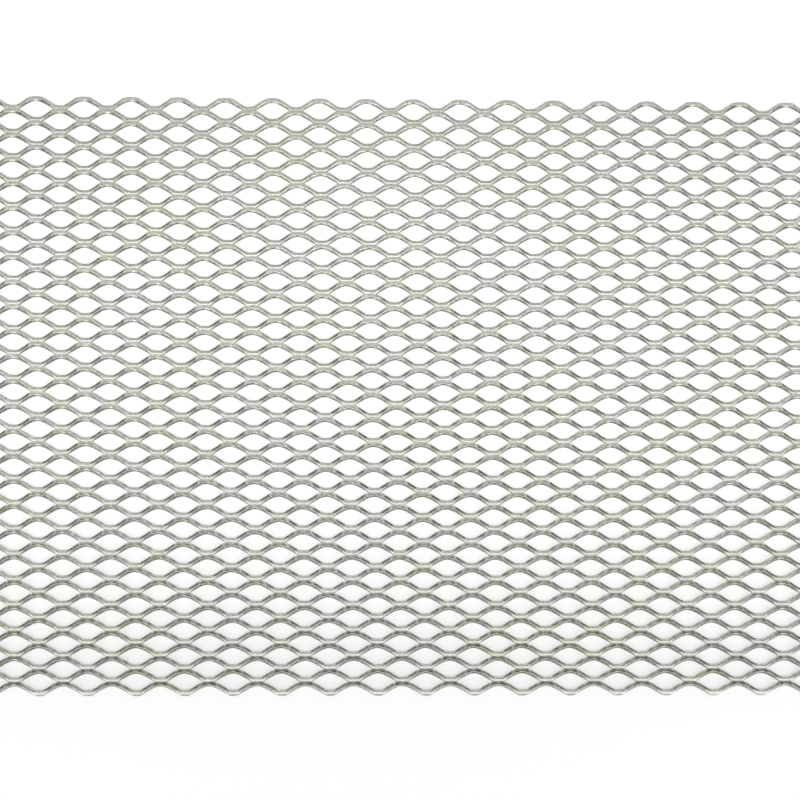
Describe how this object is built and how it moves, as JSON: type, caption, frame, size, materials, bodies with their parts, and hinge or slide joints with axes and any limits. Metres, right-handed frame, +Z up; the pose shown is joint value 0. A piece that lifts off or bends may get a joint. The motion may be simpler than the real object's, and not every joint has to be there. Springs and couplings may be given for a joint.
{
  "type": "expanded metal sheet",
  "caption": "Flat sheet of dull steel, slit and drawn into a diamond mesh of tilted strands joined at short bonds, with plain sheared ends.",
  "frame": {"origin": "middle of the sheet's underside, on the ground it lies on", "axes": "+X the long way of the mesh, +Y the short way, towards the side the sheet faces look to, +Z up"},
  "size_m": [0.25, 0.1258, 0.0017],
  "materials": {
    "steel": "dull mill finish, slightly specked"
  },
  "bodies": {
    "root": {"mesh_band_1": "steel", "mesh_band_2": "steel", "mesh_band_3": "steel", "mesh_band_4": "steel"}
  },
  "joints": []
}
